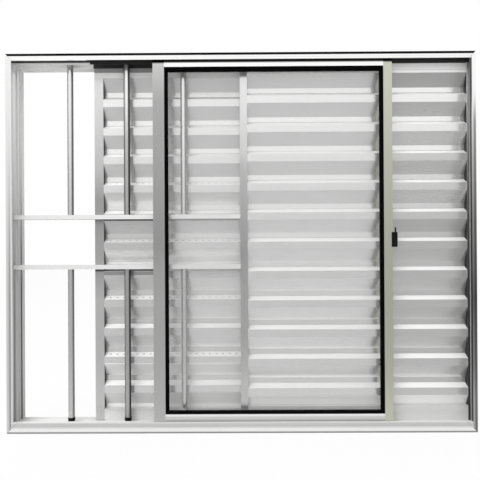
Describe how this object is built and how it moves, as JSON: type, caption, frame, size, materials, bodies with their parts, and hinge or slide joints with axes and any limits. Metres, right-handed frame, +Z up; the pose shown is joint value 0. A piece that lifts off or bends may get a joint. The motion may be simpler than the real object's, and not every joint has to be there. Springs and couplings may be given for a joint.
{
  "type": "sliding shuttered window",
  "caption": "Sliding aluminium window with a glass leaf, a fixed louvred leaf, a sliding louvred shutter with vent slots and a round-bar security grille, partly open.",
  "frame": {"origin": "underside of the sill, in the middle of the frame's width and depth", "axes": "+X to the right seen from the room, +Y to the outside, +Z up"},
  "size_m": [1.2, 0.085, 0.97],
  "materials": {
    "frame_aluminium": "mill finish, satin",
    "leaf_aluminium": "mill finish, satin",
    "blade_aluminium": "mill finish, satin, smooth",
    "grille_aluminium": "mill finish, satin",
    "clear_glass": "clear float glass",
    "black_rubber": "matt black",
    "black_plastic": "moulded, matt black",
    "roller_nylon": "nylon, white"
  },
  "bodies": {
    "root": {"sill_track": "frame_aluminium", "head_track": "frame_aluminium", "left_jamb": "frame_aluminium", "right_jamb": "frame_aluminium", "glass_leaf_left_stile": "leaf_aluminium", "glass_leaf_right_stile": "leaf_aluminium", "glass_leaf_top_rail": "leaf_aluminium", "glass_leaf_bottom_rail": "leaf_aluminium", "glass_pane": "clear_glass", "inner_glass_gasket": "black_rubber", "outer_glass_gasket": "black_rubber", "glass_leaf_rollers": "roller_nylon", "latch_body": "black_plastic", "latch_lever": "black_plastic", "fixed_leaf_left_stile": "leaf_aluminium", "fixed_leaf_right_stile": "leaf_aluminium", "fixed_leaf_top_rail": "leaf_aluminium", "fixed_leaf_bottom_rail": "leaf_aluminium", "fixed_leaf_upper_blades": "blade_aluminium", "fixed_leaf_middle_blades": "blade_aluminium", "fixed_leaf_lower_blades": "blade_aluminium", "vent_leaf_left_stile": "leaf_aluminium", "vent_leaf_right_stile": "leaf_aluminium", "vent_leaf_top_rail": "leaf_aluminium", "vent_leaf_bottom_rail": "leaf_aluminium", "vent_leaf_rollers": "roller_nylon", "vent_leaf_upper_blades": "blade_aluminium", "vent_leaf_middle_blades": "blade_aluminium", "vent_leaf_lower_blades": "blade_aluminium", "grille_lower_rail": "grille_aluminium", "grille_upper_rail": "grille_aluminium", "grille_lower_left_bar": "grille_aluminium", "grille_lower_middle_bar": "grille_aluminium", "grille_lower_right_bar": "grille_aluminium", "grille_upper_left_bar": "grille_aluminium", "grille_upper_middle_bar": "grille_aluminium", "grille_upper_right_bar": "grille_aluminium"}
  },
  "joints": []
}
